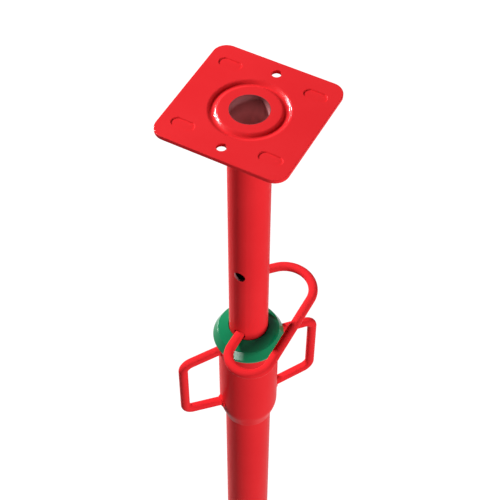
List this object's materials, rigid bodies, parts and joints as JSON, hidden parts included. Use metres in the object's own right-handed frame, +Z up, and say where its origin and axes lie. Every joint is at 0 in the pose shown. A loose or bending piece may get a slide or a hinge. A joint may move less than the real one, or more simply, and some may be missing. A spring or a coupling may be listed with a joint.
{
  "type": "adjustable steel prop",
  "caption": "Telescopic steel formwork prop with square pressed end plates, a covered-thread adjusting sleeve with two loop handles, a pin seat ring and a bent-bar pin.",
  "frame": {"origin": "on the tubes' axis, at the underside of the base plate, midway between its two nail holes", "axes": "+Z up along the tubes; both nail hole pairs and the pin's bar lie along Y; the pin's loop stands on the +X side and the pin is pulled out towards -Y"},
  "size_m": [0.15, 0.184, 1.1706],
  "materials": {
    "red_paint": "satin",
    "green_paint": "gloss",
    "oiled_steel": "oiled"
  },
  "bodies": {
    "lower": {"outer_tube": "red_paint", "base_plate": "red_paint", "base_plate_weld": "red_paint", "threaded_head": "oiled_steel", "threaded_head_weld": "oiled_steel", "guide_bush": "oiled_steel"},
    "collar": {"pin_seat_ring": "green_paint"},
    "sleeve": {"adjusting_sleeve": "red_paint", "handle_right": "red_paint", "handle_right_upper_weld": "red_paint", "handle_right_lower_weld": "red_paint", "handle_left": "red_paint", "handle_left_upper_weld": "red_paint", "handle_left_lower_weld": "red_paint"},
    "inner": {"inner_tube": "red_paint", "head_plate": "red_paint", "head_plate_weld": "red_paint", "foot_ring": "oiled_steel", "foot_ring_weld": "oiled_steel", "stop_ring": "oiled_steel", "stop_ring_weld": "oiled_steel"},
    "pin": {"g_pin": "red_paint"}
  },
  "joints": [
    {"name": "collar_rise", "type": "slide", "parent": "lower", "child": "collar", "axis": [0, 0, 1], "range_m": [0, 0.12]},
    {"name": "sleeve_turn", "type": "hinge", "parent": "collar", "child": "sleeve", "pos_m": [0, 0, 0.7], "axis": [0, 0, 1], "range_deg": [0, 5400]},
    {"name": "inner_extend", "type": "slide", "parent": "collar", "child": "inner", "axis": [0, 0, 1], "range_m": [0, 0.348]},
    {"name": "pin_pull", "type": "slide", "parent": "inner", "child": "pin", "axis": [0, -1, 0], "range_m": [-0.015, 0.054]}
  ],
  "couplings": [
    {"joint": "collar_rise", "follows": "sleeve_turn", "m_per_rad": 0.0012732}
  ]
}
